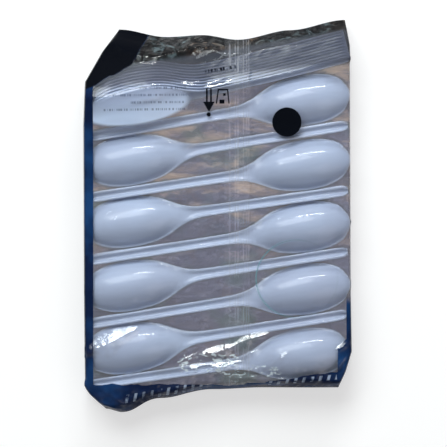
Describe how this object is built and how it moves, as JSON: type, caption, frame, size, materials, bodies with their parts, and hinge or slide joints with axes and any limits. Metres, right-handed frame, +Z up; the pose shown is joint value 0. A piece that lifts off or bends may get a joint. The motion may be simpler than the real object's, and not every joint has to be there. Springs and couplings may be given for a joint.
{
  "type": "plastic cutlery pack",
  "caption": "Clear film pack of white plastic spoons, nested in stacks laid head to tail, with the end stack tipped on its side.",
  "frame": {"origin": "under the middle of the bag, on the surface that it lies on", "axes": "+Y along the bag towards the tipped stack, +X across it along the spoons, +Z up out of the lap seal side"},
  "size_m": [0.1625, 0.237, 0.0382],
  "materials": {
    "film": "clear glossy film with a dark blue printed back",
    "spoon_plastic": "glossy white moulded plastic"
  },
  "bodies": {
    "root": {"film_bag": "film", "spoon_right_1_1": "spoon_plastic", "spoon_right_1_2": "spoon_plastic", "spoon_right_1_3": "spoon_plastic", "spoon_right_1_4": "spoon_plastic", "lower_spoons_right_1": "spoon_plastic", "spoon_right_2_1": "spoon_plastic", "spoon_right_2_2": "spoon_plastic", "spoon_right_2_3": "spoon_plastic", "spoon_right_2_4": "spoon_plastic", "lower_spoons_right_2": "spoon_plastic", "spoon_right_3_1": "spoon_plastic", "spoon_right_3_2": "spoon_plastic", "spoon_right_3_3": "spoon_plastic", "spoon_right_3_4": "spoon_plastic", "lower_spoons_right_3": "spoon_plastic", "spoon_right_4_1": "spoon_plastic", "spoon_right_4_2": "spoon_plastic", "spoon_right_4_3": "spoon_plastic", "spoon_right_4_4": "spoon_plastic", "lower_spoons_right_4": "spoon_plastic", "spoon_right_5_1": "spoon_plastic", "spoon_right_5_2": "spoon_plastic", "spoon_right_5_3": "spoon_plastic", "spoon_right_5_4": "spoon_plastic", "lower_spoons_right_5": "spoon_plastic", "spoon_left_1_1": "spoon_plastic", "spoon_left_1_2": "spoon_plastic", "spoon_left_1_3": "spoon_plastic", "spoon_left_1_4": "spoon_plastic", "lower_spoons_left_1": "spoon_plastic", "spoon_left_2_1": "spoon_plastic", "spoon_left_2_2": "spoon_plastic", "spoon_left_2_3": "spoon_plastic", "spoon_left_2_4": "spoon_plastic", "lower_spoons_left_2": "spoon_plastic", "spoon_left_3_1": "spoon_plastic", "spoon_left_3_2": "spoon_plastic", "spoon_left_3_3": "spoon_plastic", "spoon_left_3_4": "spoon_plastic", "lower_spoons_left_3": "spoon_plastic", "spoon_left_4_1": "spoon_plastic", "spoon_left_4_2": "spoon_plastic", "spoon_left_4_3": "spoon_plastic", "spoon_left_4_4": "spoon_plastic", "lower_spoons_left_4": "spoon_plastic", "spoon_tipped_1": "spoon_plastic", "spoon_tipped_2": "spoon_plastic", "spoon_tipped_3": "spoon_plastic", "spoon_tipped_4": "spoon_plastic", "spoon_tipped_5": "spoon_plastic", "spoon_tipped_6": "spoon_plastic", "spoon_tipped_7": "spoon_plastic", "spoon_tipped_8": "spoon_plastic", "spoon_tipped_9": "spoon_plastic", "spoon_tipped_10": "spoon_plastic"}
  },
  "joints": []
}
